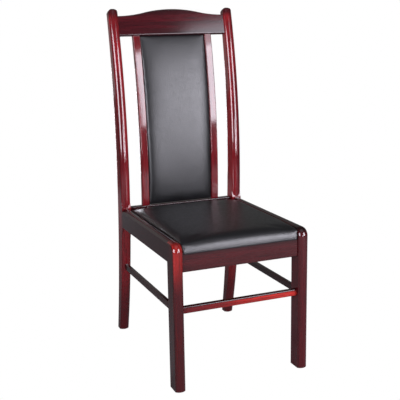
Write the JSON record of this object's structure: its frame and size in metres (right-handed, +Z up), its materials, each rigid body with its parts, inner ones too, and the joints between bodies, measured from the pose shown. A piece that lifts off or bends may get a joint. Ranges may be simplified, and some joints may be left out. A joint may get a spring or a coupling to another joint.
{
  "type": "conference chair",
  "caption": "High-backed armless wooden conference chair with a crowned drop-in leather seat, a bowed padded back between slats, a camel-backed crest and low stretchers.",
  "frame": {"origin": "on the floor, in the middle of the chair's width and depth", "axes": "+Z up, +Y towards the back of the chair, the sitter faces -Y, +X to the right as seen from the front"},
  "size_m": [0.44, 0.586, 1.113],
  "materials": {
    "lacquered_wood": "mahogany-stained hardwood under high-gloss lacquer",
    "bare_hardwood": "sawn, unfinished",
    "plywood": "sanded, unfinished",
    "black_leather": "smooth, semi-matte",
    "foam": "open-cell cushion foam",
    "dust_cloth": "bonded black cloth",
    "zinc_steel": "zinc plated",
    "nylon": "moulded, matte"
  },
  "bodies": {
    "root": {"back_board": "plywood", "back_cover": "black_leather", "back_foam": "foam", "back_rear_panel": "black_leather", "back_slat_left": "lacquered_wood", "back_slat_right": "lacquered_wood", "corner_block_front_left": "bare_hardwood", "corner_block_front_right": "bare_hardwood", "corner_block_rear_left": "bare_hardwood", "corner_block_rear_right": "bare_hardwood", "crest_rail": "lacquered_wood", "foot_glide_front_left": "nylon", "foot_glide_front_right": "nylon", "foot_glide_rear_left": "nylon", "foot_glide_rear_right": "nylon", "front_leg_left": "lacquered_wood", "front_leg_right": "lacquered_wood", "front_rail": "lacquered_wood", "front_stretcher": "lacquered_wood", "rear_post_left": "lacquered_wood", "rear_post_right": "lacquered_wood", "rear_rail": "lacquered_wood", "seat_board": "plywood", "seat_cover": "black_leather", "seat_dust_cover": "dust_cloth", "seat_foam": "foam", "seat_screws": "zinc_steel", "side_rail_left": "lacquered_wood", "side_rail_right": "lacquered_wood", "side_stretcher_left": "lacquered_wood", "side_stretcher_right": "lacquered_wood"}
  },
  "joints": []
}
